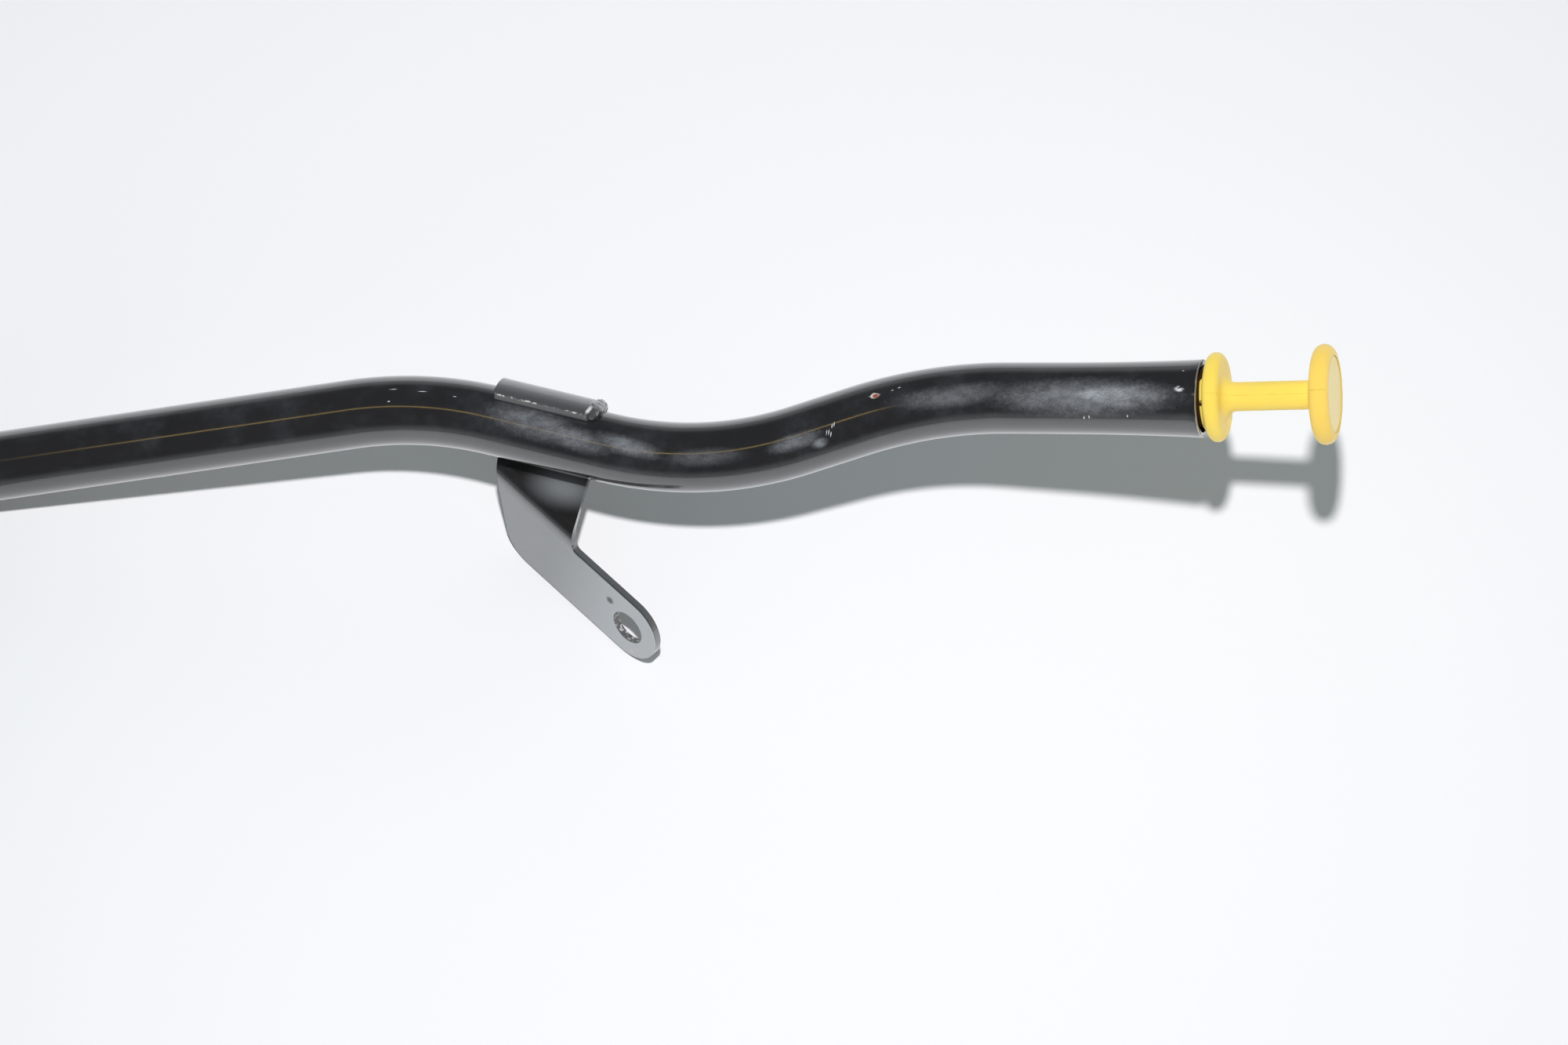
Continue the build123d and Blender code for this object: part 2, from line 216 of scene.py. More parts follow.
def square_to(line, direction):
    """The part of a direction that is square to a line, as a unit vector."""
    return (direction - line * direction.dot(line)).normalized()


def turned(vector, axis, angle):
    """A vector turned about an axis by the right-hand rule."""
    return Matrix.Rotation(angle, 3, axis) @ vector


def turn_to(first, second, third):
    """The turn that lays x, y and z along three directions."""
    return Matrix((first, second, third)).transposed()


spigot_centre = Vector((0, 0, 0))
lower_corner = run(*SPIGOT_RUN)
crest_corner = lower_corner + run(*LONG_RUN)
trough_corner = crest_corner + run(*STRAP_RUN)
neck_corner = trough_corner + run(*DIP_RUN)
mouth_centre = neck_corner + run(*NECK_RUN)
mouth_out = (mouth_centre - neck_corner).normalized()
neck_end = mouth_centre - mouth_out * FLARE_LENGTH

upper_front = square_to(mouth_out, Vector((0, -cos(CAMERA_ELEVATION), sin(CAMERA_ELEVATION))))
handle_out = turned(mouth_out, upper_front, HANDLE_LEAN)
rim_centre = mouth_centre - mouth_out * SEAL_DEPTH + handle_out * SEAL_DEPTH
parting_out = turned(upper_front, handle_out, PARTING_ANGLE)
parting_side = handle_out.cross(parting_out)
notch_out = turned(upper_front, handle_out, NOTCH_ANGLE)
stem_start = FLANGE_BACK + FLANGE_THICKNESS
disc_back = stem_start + GRIP_GAP
disc_face = disc_back + DISC_THICKNESS

strap_run = (trough_corner - crest_corner).normalized()
strap_centre = crest_corner + strap_run * STRAP_FROM_CREST
flap_out = turned(square_to(strap_run, Vector((0, -1, 0))), strap_run, FLAP_SLOPE)
strap_down = strap_run.cross(flap_out)
flap_origin = strap_centre + strap_down * SADDLE_RADIUS

fold_origin = flap_origin + flap_out * FOLD_REACH
fold_along = strap_run * cos(FOLD_SKEW) + flap_out * sin(FOLD_SKEW)
fold_across = flap_out * cos(FOLD_SKEW) - strap_run * sin(FOLD_SKEW)
fold_setback = FOLD_RADIUS * tan(FOLD_TURN / 2)
arm_down = fold_across * cos(FOLD_TURN) + strap_down * sin(FOLD_TURN)
arm_face = arm_down.cross(fold_along)
bolt_centre = fold_origin + fold_along * BOLT_HOLE_ALONG + arm_down * BOLT_HOLE_DROP


# Modelling helpers


def only(piece):
    """Leaves one object selected and active."""
    bpy.ops.object.select_all(action="DESELECT")
    piece.select_set(True)
    bpy.context.view_layer.objects.active = piece


def start_ring(name, centre, across, along, radius, sides):
    """A ring of edges round a centre, left selected in edit mode. Its first corner lies towards across."""
    bpy.ops.object.select_all(action="DESELECT")
    bpy.ops.mesh.primitive_circle_add(vertices=sides, radius=radius)
    piece = bpy.context.object
    piece.name = name
    piece.data.name = name
    facing = turn_to(across.cross(along), across, along).to_4x4()
    piece.matrix_world = Matrix.Translation(centre) @ facing
    bpy.ops.object.transform_apply(location=True, rotation=True, scale=True)
    bpy.ops.object.mode_set(mode="EDIT")
    bpy.ops.mesh.select_all(action="SELECT")
    return piece


def scale_ring(scale, centre):
    """Scales the selected ring about its centre."""
    bpy.ops.transform.resize(value=(scale, scale, scale), center_override=centre)


def push_ring(step, scale=1.0, centre=None):
    """Extrudes the selected ring by a step and scales the new ring about its centre."""
    bpy.ops.mesh.extrude_edges_move(TRANSFORM_OT_translate={"value": step})
    if scale != 1.0:
        scale_ring(scale, centre)


def clean_mesh():
    """Merges doubles and points the faces outwards."""
    bpy.ops.mesh.select_all(action="SELECT")
    bpy.ops.mesh.remove_doubles(threshold=SAME_POINT)
    bpy.ops.mesh.normals_make_consistent(inside=False)


def close_mesh():
    """Cleans the mesh and leaves edit mode."""
    clean_mesh()
    bpy.ops.object.mode_set(mode="OBJECT")


def shaped(piece, kind, **settings):
    """Adds one modifier with its settings and applies it."""
    only(piece)
    made = piece.modifiers.new(kind.title(), kind)
    for name, value in settings.items():
        setattr(made, name, value)
    bpy.ops.object.modifier_apply(modifier=made.name)


def rounded_edges(piece, width, segments, sharper_than, **settings):
    """Rounds the edges of a piece that are sharper than an angle in degrees."""
    limit = radians(sharper_than)
    shaped(piece, "BEVEL", width=width, segments=segments, limit_method="ANGLE", angle_limit=limit, **settings)


def settle(piece, smooth_angle, body, slot, material, *nodes):
    """Shades a finished piece, gives it its material and hangs it in the frame."""
    only(piece)
    bpy.ops.object.shade_smooth_by_angle(angle=radians(smooth_angle))
    piece.data.materials.clear()
    piece.data.materials.append(material)
    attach(piece, body)
    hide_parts(*nodes)


# Material helpers


def fill_sockets(tree, made, sockets):
    """Fills a node's inputs with values or links."""
    for name, value in dict(sockets).items():
        if isinstance(value, bpy.types.NodeSocket):
            tree.links.new(value, made.inputs[name])
        else:
            made.inputs[name].default_value = value


def put(tree, kind, sockets=(), **settings):
    """Adds a node, sets its settings, and fills its inputs."""
    made = tree.nodes.new(kind)
    for name, value in settings.items():
        setattr(made, name, value)
    fill_sockets(tree, made, sockets)
    return made


def sum_up(tree, operation, *values, clamp=False):
    """The result of a math node."""
    return put(tree, "ShaderNodeMath", dict(enumerate(values)), operation=operation, use_clamp=clamp).outputs[0]


def times(tree, first, second, clamp=False):
    """Two values multiplied: a mask kept to another, or weakened to a share."""
    return sum_up(tree, "MULTIPLY", first, second, clamp=clamp)


def added(tree, value, factor, base, clamp=False):
    """A value times a factor, on top of a base."""
    return sum_up(tree, "MULTIPLY_ADD", value, factor, base, clamp=clamp)


def apart(tree, first, second):
    """How far two values are apart."""
    return sum_up(tree, "ABSOLUTE", sum_up(tree, "SUBTRACT", first, second))


def most(tree, masks):
    """The strongest of several masks at each point."""
    strongest = masks[0]
    for mask in masks[1:]:
        strongest = sum_up(tree, "MAXIMUM", strongest, mask)
    return strongest


def ramp(tree, value, low, high, to_low=0.0, to_high=1.0):
    """A value eased from one range to another."""
    sockets = {"Value": value, "From Min": low, "From Max": high, "To Min": to_low, "To Max": to_high}
    return put(tree, "ShaderNodeMapRange", sockets, interpolation_type="SMOOTHSTEP").outputs["Result"]


def fade(tree, value, low, high):
    """A mask that is full up to one value and gone from another."""
    return ramp(tree, value, low, high, 1.0, 0.0)


def between(tree, share, first, second):
    """A value that goes from one to another by a share."""
    return put(tree, "ShaderNodeMix", {0: share, 2: first, 3: second}, data_type="FLOAT").outputs[0]


def mixed(tree, share, first, second):
    """One colour mixed into another by a share."""
    made = put(tree, "ShaderNodeMix", {"Factor": share}, data_type="RGBA")
    for socket, value in zip((made.inputs[6], made.inputs[7]), (first, second)):
        if isinstance(value, bpy.types.NodeSocket):
            tree.links.new(value, socket)
        else:
            socket.default_value = (*value, 1.0)
    return made.outputs[2]


def layered(tree, colour, *layers):
    """A colour with others laid over it in turn, each by its mask."""
    for mask, tint in layers:
        colour = mixed(tree, mask, colour, tint)
    return colour


def noise(tree, vector, scale, detail=2.0, roughness=0.5):
    """The grey value of a noise texture."""
    sockets = {"Vector": vector, "Scale": scale, "Detail": detail, "Roughness": roughness}
    return put(tree, "ShaderNodeTexNoise", sockets).outputs["Fac"]


def mottled(tree, coords, scale, low, high, detail=4.0):
    """A value that wanders between two over the surface."""
    return ramp(tree, noise(tree, coords, scale, detail), 0.3, 0.7, low, high)


def local_axes(tree, coords, origin, turn):
    """The coordinates along x, y and z of a turned frame with its own origin."""
    sockets = {"Vector": coords, "Location": origin, "Rotation": turn}
    placed = put(tree, "ShaderNodeMapping", sockets, vector_type="TEXTURE")
    return put(tree, "ShaderNodeSeparateXYZ", {0: placed.outputs["Vector"]}).outputs


def off_axis(tree, first, second):
    """The distance from an axis, from the two coordinates square to it."""
    squares = [sum_up(tree, "POWER", value, 2.0) for value in (first, second)]
    return sum_up(tree, "SQRT", sum_up(tree, "ADD", *squares))


def bumped(tree, height, strength, depth):
    """A normal that follows a height."""
    sockets = {"Height": height, "Strength": strength, "Distance": depth}
    return put(tree, "ShaderNodeBump", sockets).outputs["Normal"]


def start_material(name):
    """A material with an empty node tree, its principled shader and its object coordinates."""
    made = bpy.data.materials.new(name)
    made.use_nodes = True
    tree = made.node_tree
    tree.nodes.clear()
    shader = put(tree, "ShaderNodeBsdfPrincipled")
    put(tree, "ShaderNodeOutputMaterial", {"Surface": shader.outputs["BSDF"]})
    coords = put(tree, "ShaderNodeTexCoord").outputs["Object"]
    return made, tree, shader, coords


def start_group(name, inputs, outputs):
    """An empty shader group with named sockets, and its input and output nodes."""
    tree = bpy.data.node_groups.new(name, "ShaderNodeTree")
    for socket, kind in inputs.items():
        tree.interface.new_socket(socket, in_out="INPUT", socket_type=kind)
    for socket, kind in outputs.items():
        tree.interface.new_socket(socket, in_out="OUTPUT", socket_type=kind)
    given = put(tree, "NodeGroupInput").outputs
    result = put(tree, "NodeGroupOutput")
    return tree, given, result


def use_group(tree, group, sockets):
    """Places a shared group in a material and returns its outputs."""
    made = put(tree, "ShaderNodeGroup", node_tree=group)
    fill_sockets(tree, made, sockets)
    return made.outputs


VALUE, VECTOR = "NodeSocketFloat", "NodeSocketVector"

# Shared effect: a ragged patch laid on the surface at a place, turned and sized
worn_patch, given, result = start_group(
    "worn_patch",
    {"Vector": VECTOR, "Place": VECTOR, "Turn": VECTOR, "Reach": VECTOR, "Softness": VALUE, "Raggedness": VALUE},
    {"Mask": VALUE},
)
tree = worn_patch
placed = put(
    tree,
    "ShaderNodeMapping",
    {"Vector": given["Vector"], "Location": given["Place"], "Rotation": given["Turn"], "Scale": given["Reach"]},
    vector_type="TEXTURE",
)
far = put(tree, "ShaderNodeVectorMath", {0: placed.outputs["Vector"]}, operation="LENGTH").outputs["Value"]
torn = sum_up(tree, "SUBTRACT", noise(tree, given["Vector"], 900.0, 4.0, 0.6), 0.5)
ragged = added(tree, torn, given["Raggedness"], far)
inner = sum_up(tree, "SUBTRACT", 1.0, given["Softness"])
fill_sockets(tree, result, {"Mask": fade(tree, ragged, inner, 1.0)})

# Shared effect: a film of dust, thin or thick, drawn out along the tube and broken by fine specks
dust_film, given, result = start_group(
    "dust_film", {"Vector": VECTOR, "Share": VALUE, "Grain": VALUE}, {"Mask": VALUE, "Height": VALUE}
)
tree = dust_film
drawn = put(tree, "ShaderNodeMapping", {"Vector": given["Vector"], "Scale": (0.55, 1, 1)}).outputs["Vector"]
blotch = ramp(tree, noise(tree, drawn, 380.0, 7.0, 0.68), 0.30, 0.70)
specks = ramp(tree, noise(tree, given["Vector"], 3400.0, 2.0, 0.6), 0.46, 0.74)
broken = added(tree, specks, 0.55, added(tree, blotch, 0.60, 0.26))
thick = between(tree, given["Grain"], 0.8, broken)
film = times(tree, thick, given["Share"], clamp=True)
fill_sockets(tree, result, {"Mask": film, "Height": times(tree, film, specks)})

# Shared effect: the slow swell of a sprayed or moulded skin with a little fine tooth
skin_swell, given, result = start_group("skin_swell", {"Vector": VECTOR, "Scale": VALUE}, {"Height": VALUE})
tree = skin_swell
swell = noise(tree, given["Vector"], given["Scale"], 1.0)
tooth = noise(tree, given["Vector"], times(tree, given["Scale"], 9.0), 2.0)
fill_sockets(tree, result, {"Height": added(tree, tooth, 0.12, swell)})


def patch(tree, coords, place, reach, lie, softness, raggedness):
    """The mask of a worn patch, from its place and reach in millimetres and the heading and rise it lies along."""
    heading, rise = lie
    sockets = {
        "Vector": coords,
        "Place": Vector(place) * MM,
        "Turn": (0, -radians(rise), radians(heading)),
        "Reach": Vector(reach) * MM,
        "Softness": softness,
        "Raggedness": raggedness,
    }
    return use_group(tree, worn_patch, sockets)["Mask"]


def skin(tree, coords, scale):
    """The height of the swollen skin at a scale."""
    return use_group(tree, skin_swell, {"Vector": coords, "Scale": scale})["Height"]


ALONG_NECK = (-7.1, 16.8)
ALONG_DIP = (13.5, 15)
ALONG_STRAP = (-16.1, 4.7)
LEVEL = (0, 0)

# Black gloss paint of the tube: deep and wet looking, with hazy dust, nicks and one rusted chip on its upper side.
# The rim is rubbed bare over its outer edge, up to a distance that drifts.
RIM_EDGE = (MOUTH_RADIUS - 0.5 * MM, MOUTH_RADIUS - 0.3 * MM)
RIM_WEAR = (0.35 * MM, 0.62 * MM)
RIM_WEAR_DRIFT = 0.5 * MM

black_paint, tree, shader, coords = start_material("black_gloss_paint")

# Hazes of dust: place and reach, the heading and rise that each lies along, and its strength
hazes = (
    ((356, 240.0, 73.0), (34, 6.6, 7.5), ALONG_NECK, 0.62),
    ((364, 239.3, 75.6), (21, 5.0, 6.0), ALONG_NECK, 0.85),
    ((358.5, 240.4, 74.2), (10, 2.8, 4.0), ALONG_NECK, 1.1),
    ((320, 244.6, 62.4), (22, 4.2, 6.0), (1.0, 16.5), 0.4),
    ((276.5, 236.0, 49.4), (10, 3.0, 4.0), ALONG_DIP, 0.55),
    ((283.4, 235.3, 50.2), (3.2, 1.8, 3.0), ALONG_DIP, 0.62),
    ((202, 245.8, 39.1), (19, 6.4, 4.5), (-20.0, 3.5), 0.52),
    ((213, 241.2, 39.8), (15, 4.6, 4.0), (-22.0, 4.0), 0.55),
    ((229, 238.0, 41.2), (13, 3.6, 4.0), (-18.0, 5.0), 0.62),
    ((251, 233.6, 43.6), (15, 3.2, 4.0), (0.0, 10.0), 0.3),
)
laid = [ramp(tree, noise(tree, coords, 60.0, 5.0, 0.7), 0.42, 0.8, 0.0, 0.10)]
for place, reach, lie, strength in hazes:
    laid.append(times(tree, patch(tree, coords, place, reach, lie, 0.85, 0.4), strength))
dust = use_group(tree, dust_film, {"Vector": coords, "Share": most(tree, laid), "Grain": 0.8})

# Nicks through the paint: place, length and width, and heading
nick_places = (
    ((355.9, 235.2, 69.7), 0.6, 0.2, 14),
    ((357.2, 235.2, 70.3), 0.6, 0.2, 14),
    ((367.4, 234.1, 73.8), 0.5, 0.2, 14),
    ((285.3, 237.7, 52.1), 1.1, 0.15, -8),
    ((285.9, 237.8, 52.2), 1.3, 0.16, -8),
    ((286.5, 237.3, 52.0), 1.0, 0.17, -8),
    ((286.8, 239.4, 53.0), 0.9, 0.15, -8),
    ((287.4, 239.8, 53.2), 0.9, 0.17, -8),
    ((303.6, 248.1, 58.0), 0.5, 0.15, 100),
    ((305.5, 248.7, 58.4), 0.6, 0.15, 110),
    ((382.3, 244.4, 81.5), 0.4, 0.15, 90),
    ((162.0, 257.8, 34.7), 1.4, 0.14, 90),
    ((170.5, 256.6, 35.9), 1.5, 0.14, 85),
    ((179.8, 254.6, 37.0), 0.7, 0.14, 80),
    ((160.8, 254.0, 34.8), 0.5, 0.2, 90),
)
nicks = []
for place, length, width, heading in nick_places:
    nicks.append(patch(tree, coords, place, (width, length, length), (heading, 0), 0.7, 0.9))
crater = patch(tree, coords, (380.9, 238.8, 81.9), (1.6, 1.0, 2.0), ALONG_NECK, 0.8, 0.8)
crater_pit = patch(tree, coords, (381.0, 239.1, 82.0), (0.95, 0.4, 1.0), (10.0, 16.8), 0.7, 0.5)
nicks.append(added(tree, crater_pit, -0.8, crater, clamp=True))
chip = patch(tree, coords, (298.6, 247.0, 56.6), (1.6, 1.05, 2.0), ALONG_DIP, 0.5, 1.3)
chip_rust = patch(tree, coords, (298.9, 246.9, 56.7), (1.05, 0.75, 1.5), ALONG_DIP, 0.4, 0.8)

rim_axes = local_axes(tree, coords, mouth_centre, mouth_out.to_track_quat("Z", "Y").to_euler())
from_rim = sum_up(tree, "ABSOLUTE", rim_axes["Z"])
outer_edge = ramp(tree, off_axis(tree, rim_axes["X"], rim_axes["Y"]), *RIM_EDGE)
rubbed = added(tree, noise(tree, coords, 700.0, 4.0, 0.6), RIM_WEAR_DRIFT, from_rim)
rim_worn = times(tree, fade(tree, rubbed, *RIM_WEAR), outer_edge)

bare_metal = most(tree, [*nicks, rim_worn])
open_spots = most(tree, [bare_metal, chip])
dull = most(tree, [dust["Mask"], open_spots])
colour = layered(
    tree,
    mixed(tree, noise(tree, coords, 90.0, 3.0), *TUBE_BLACK),
    (dust["Mask"], TUBE_DUST),
    (bare_metal, BARE_STEEL),
    (chip, CHIP_PRIMER),
    (chip_rust, CHIP_RUST),
)
relief = added(tree, dust["Height"], 1.2, skin(tree, coords, 260.0))
relief = added(tree, open_spots, -1.5, relief)
fill_sockets(
    tree,
    shader,
    {
        "Base Color": colour,
        "Roughness": between(tree, dull, mottled(tree, coords, 600.0, 0.11, 0.17), 0.62),
        "Metallic": times(tree, rim_worn, 0.9),
        "Coat Weight": sum_up(tree, "SUBTRACT", 1.0, dull, clamp=True),
        "Specular IOR Level": 1.0,
        "Coat Roughness": 0.035,
        "Coat IOR": 1.6,
        "Normal": bumped(tree, relief, 0.25, 0.05 * MM),
    },
)

# Bracket paint: black, of a softer gloss than the tube's, greyed by smooth dust that, on the arm, also stands in
# for a painted reflection brightening it towards the tip. The strap's cut end is scuffed, with bright specks along
# its edge, partly wear and partly painted glints, painted highlights on the weld and the cut, and painted shade on
# the flap under the tube and along the cut end's seat. The bolt hole's wall is dragged bare.
ARM_START = (fold_setback - 1.5 * MM, fold_setback + 3 * MM)
ARM_FACE_DEPTH = (0.2 * MM, 0.4 * MM)
ARM_EDGE_DEPTH = (0.5 * MM, 0.8 * MM)
# Along the arm, the dust and the painted reflection in it grow over this span towards the tip
ARM_DUST_AND_SHEEN_SPAN = (8 * MM, 42 * MM)
STRAP_DUST_SPAN = (radians(95), radians(125))
CUT_END = (radians(0.3), radians(0.8))
CUT_EDGE = (radians(1.4), radians(2.4))
STRAP_OUTSIDE = SADDLE_RADIUS + SHEET
STRAP_EDGE = (STRAP_OUTSIDE - 0.5 * MM, STRAP_OUTSIDE - 0.25 * MM)
SEAT_EDGE = (SADDLE_RADIUS + 0.3 * MM, SADDLE_RADIUS + 0.5 * MM)
# Reach of the painted shade on the flap under the tube
CREVICE_SHADE_OUT = (10.2 * MM, 10.8 * MM)
CREVICE_SHADE_DOWN = (6 * MM, 8 * MM)
HOLE_WALL = (BOLT_HOLE_RADIUS + 0.02 * MM, BOLT_HOLE_RADIUS + 0.1 * MM)
HOLE_LIP = (-0.5 * MM, -0.3 * MM)

bracket_paint, tree, shader, coords = start_material("bracket_paint")
arm_turn = turn_to(fold_along, arm_down, fold_along.cross(arm_down)).to_euler()
arm_axes = local_axes(tree, coords, fold_origin, arm_turn)
strap_axes = local_axes(tree, coords, strap_centre, turn_to(strap_run, flap_out, strap_down).to_euler())
strap_far = off_axis(tree, strap_axes["Y"], strap_axes["Z"])
wrapped = sum_up(tree, "ARCTAN2", times(tree, strap_axes["Y"], -1.0), strap_axes["Z"])
off_cut = apart(tree, wrapped, STRAP_WRAP)
bolt_axes = local_axes(tree, coords, bolt_centre, arm_face.to_track_quat("Z", "Y").to_euler())
bolt_far = off_axis(tree, bolt_axes["X"], bolt_axes["Y"])

past_fold = ramp(tree, arm_axes["Y"], *ARM_START)
on_arm_face = times(tree, past_fold, fade(tree, arm_axes["Z"], *ARM_FACE_DEPTH))
# Dust on the arm's face, thickening towards the tip: partly dust, partly a painted reflection of the floor that
# brightens the arm there
arm_dust_and_sheen = times(tree, on_arm_face, ramp(tree, arm_axes["X"], *ARM_DUST_AND_SHEEN_SPAN, 0.5, 1.1))
edge_film = times(tree, past_fold, ramp(tree, arm_axes["Z"], *ARM_EDGE_DEPTH, 0.0, 0.25))
strap_film = ramp(tree, wrapped, *STRAP_DUST_SPAN, 0.0, 0.16)
flap_middle = flap_origin + strap_run * 8 * MM + flap_out * 12.5 * MM
flap_film = times(tree, patch(tree, coords, flap_middle / MM, (14, 7.5, 6), ALONG_STRAP, 0.95, 0.0), 0.5)
thin_film = ramp(tree, noise(tree, coords, 80.0, 4.0, 0.7), 0.5, 0.85, 0.0, 0.06)
laid = [arm_dust_and_sheen, edge_film, strap_film, flap_film, thin_film]
dust = use_group(tree, dust_film, {"Vector": coords, "Share": most(tree, laid), "Grain": 0.0})

in_cut = fade(tree, off_cut, *CUT_END)
off_seat = ramp(tree, strap_far, *SEAT_EDGE)
scuffs = ramp(tree, noise(tree, coords, 420.0, 4.0, 0.7), 0.58, 0.70)
scuffed = added(tree, scuffs, 0.4, 0.6)
# The cut face's steel stops short of its seat on the tube, leaving a painted shadow line of black there
cut_face = times(tree, in_cut, times(tree, off_seat, scuffed), clamp=True)
at_edge = times(tree, ramp(tree, strap_far, *STRAP_EDGE), fade(tree, off_cut, *CUT_EDGE))
# Bright specks along the strap's cut edge: partly bare-metal wear, partly painted glints
edge_wear_and_glints = times(tree, at_edge, ramp(tree, noise(tree, coords, 1100.0, 3.0, 0.6), 0.52, 0.60))
# Painted highlights: a glint on the strap's cut face and a bright facet on the weld
painted_cut_highlight = patch(tree, coords, (200.8, 251.5, 41.3), (1.5, 0.6, 0.6), ALONG_STRAP, 0.7, 0.9)
painted_weld_highlight = patch(tree, coords, (218.2, 248.8, 41.9), (0.8, 2.8, 3.0), (-24.0, 4.7), 0.8, 1.1)
weld_crust = patch(tree, coords, (220.6, 250.6, 40.4), (1.9, 2.2, 2.6), ALONG_STRAP, 0.7, 0.9)
painted_glints_and_edge_wear = [painted_weld_highlight, painted_cut_highlight, edge_wear_and_glints]

# Painted shade: the shadow line at the cut face's seat and the flap under the tube lose their coat and go rough, so
# they read dark
painted_seat_shadow = times(tree, in_cut, sum_up(tree, "SUBTRACT", 1.0, off_seat))
shade_under_tube = times(tree, fade(tree, strap_axes["Y"], *CREVICE_SHADE_OUT), ramp(tree, strap_axes["Z"], *CREVICE_SHADE_DOWN))
painted_crevice_shade = most(tree, [shade_under_tube, painted_seat_shadow])
oil_spot = patch(tree, coords, (223.4, 204.2, 5.4), (1.7, 1.7, 1.7), LEVEL, 0.6, 0.4)
primer_spot = patch(tree, coords, (229.4, 192.7, -6.6), (1.0, 1.4, 1.4), LEVEL, 0.8, 0.8)
hole_wall = times(tree, fade(tree, bolt_far, *HOLE_WALL), fade(tree, bolt_axes["Z"], *HOLE_LIP))
bare_wall = times(tree, hole_wall, ramp(tree, noise(tree, coords, 800.0, 4.0, 0.7), 0.53, 0.60))

dull = most(tree, [dust["Mask"], hole_wall, cut_face, oil_spot, *painted_glints_and_edge_wear, painted_crevice_shade])
worn_gloss = between(tree, dull, mottled(tree, coords, 500.0, 0.29, 0.33), 0.5)
colour = layered(
    tree,
    mixed(tree, noise(tree, coords, 120.0, 3.0), *BRACKET_BLACK),
    (dust["Mask"], BRACKET_DUST_AND_SHEEN),
    (cut_face, CUT_STEEL),
    (times(tree, weld_crust, 0.5), WELD_CRUST),
    (most(tree, painted_glints_and_edge_wear), GLINT_AND_WEAR_WHITE),
    (times(tree, oil_spot, 0.9), OIL_SPOT),
    (times(tree, primer_spot, 0.5), PRIMER_SPOT),
    (hole_wall, HOLE_GREY),
    (bare_wall, HOLE_STEEL),
)
relief = added(tree, bare_wall, 1.5, skin(tree, coords, 180.0))
fill_sockets(
    tree,
    shader,
    {
        "Base Color": colour,
        "Roughness": between(tree, painted_crevice_shade, worn_gloss, 0.95),
        "Metallic": times(tree, bare_wall, 0.3),
        "Coat Weight": sum_up(tree, "SUBTRACT", 1.0, dull, clamp=True),
        "Specular IOR Level": 1.0,
        "IOR": 1.6,
        "Coat Roughness": 0.1,
        "Coat IOR": 1.75,
        "Normal": bumped(tree, relief, 0.2, 0.05 * MM),
    },
)

# Yellow plastic of the handle: warm and a little translucent, deeper on the thick disc and paler on its face, with
# its parting line, a painted shadow line round the step of the face, grime in the notch, and painted shade with some
# grime deep in the gap behind the flange, reaching out over the shoulder on its upper side
PARTING_LINE = (0.05 * MM, 0.18 * MM)
FACE_START = (disc_face - 0.45 * MM, disc_face - 0.35 * MM)
FACE_EDGE = (FACE_RADIUS - 0.1 * MM, FACE_RADIUS)
FACE_STEP = (0.05 * MM, 0.2 * MM)
DISC_START = (disc_back - 1 * MM, disc_back)
DISC_LINE_START = (disc_back - 2 * MM, disc_back)
# How far the painted shade and grime reach out of the gap behind the flange, by side
GAP_UPPER_SIDE = (-5.4 * MM, -3.4 * MM)
SHADE_AND_GRIME_UP_TO = (FLANGE_BACK + 0.1 * MM, SEAT_GAP - 0.1 * MM)
SHADE_AND_GRIME_EDGE = 0.15 * MM
NOTCH_GRIME_ALONG = 1.0 * MM

yellow_plastic, tree, shader, coords = start_material("yellow_plastic")
handle_turn = turn_to(parting_out, parting_side, handle_out).to_euler()
handle_axes = local_axes(tree, coords, rim_centre, handle_turn)
from_axis = off_axis(tree, handle_axes["X"], handle_axes["Y"])

on_face = ramp(tree, handle_axes["Z"], *FACE_START)
face = times(tree, on_face, fade(tree, from_axis, *FACE_EDGE))
# Painted shadow line round the step where the disc's face is recessed
painted_face_step_shade = times(tree, on_face, fade(tree, apart(tree, from_axis, FACE_RADIUS), *FACE_STEP))
thick_disc = ramp(tree, handle_axes["Z"], *DISC_START, 0.0, 0.55)

across_parting = sum_up(tree, "ABSOLUTE", handle_axes["Y"])
parting_breaks = ramp(tree, noise(tree, coords, 300.0, 3.0), 0.35, 0.6)
parting_line = times(tree, fade(tree, across_parting, *PARTING_LINE), parting_breaks)
line_strength = ramp(tree, handle_axes["Z"], *DISC_LINE_START, 0.2, 0.55)
line_strength = added(tree, on_face, -0.55, line_strength, clamp=True)

# Painted shade, with some grime, deep in the gap behind the flange: on its upper side it reaches out over the
# shoulder
shade_and_grime_up_to = ramp(tree, handle_axes["Y"], *GAP_UPPER_SIDE, *SHADE_AND_GRIME_UP_TO)
gap_shade_and_grime = fade(tree, sum_up(tree, "SUBTRACT", handle_axes["Z"], shade_and_grime_up_to), 0.0, SHADE_AND_GRIME_EDGE)
notch_middle = rim_centre + handle_out * NOTCH_GRIME_ALONG + notch_out * SHOULDER_RADIUS
in_notch = patch(tree, coords, notch_middle / MM, (1.4, 0.8, 1.6), LEVEL, 0.3, 0.3)
colour = layered(
    tree,
    mixed(tree, noise(tree, coords, 110.0, 4.0, 0.6), *HANDLE_YELLOW),
    (thick_disc, DISC_YELLOW),
    (face, FACE_YELLOW),
    (times(tree, painted_face_step_shade, 0.4), FACE_STEP_SHADE),
    (times(tree, parting_line, line_strength), PARTING_BROWN),
    (most(tree, [gap_shade_and_grime, in_notch]), SHADE_AND_GRIME_BROWN),
)
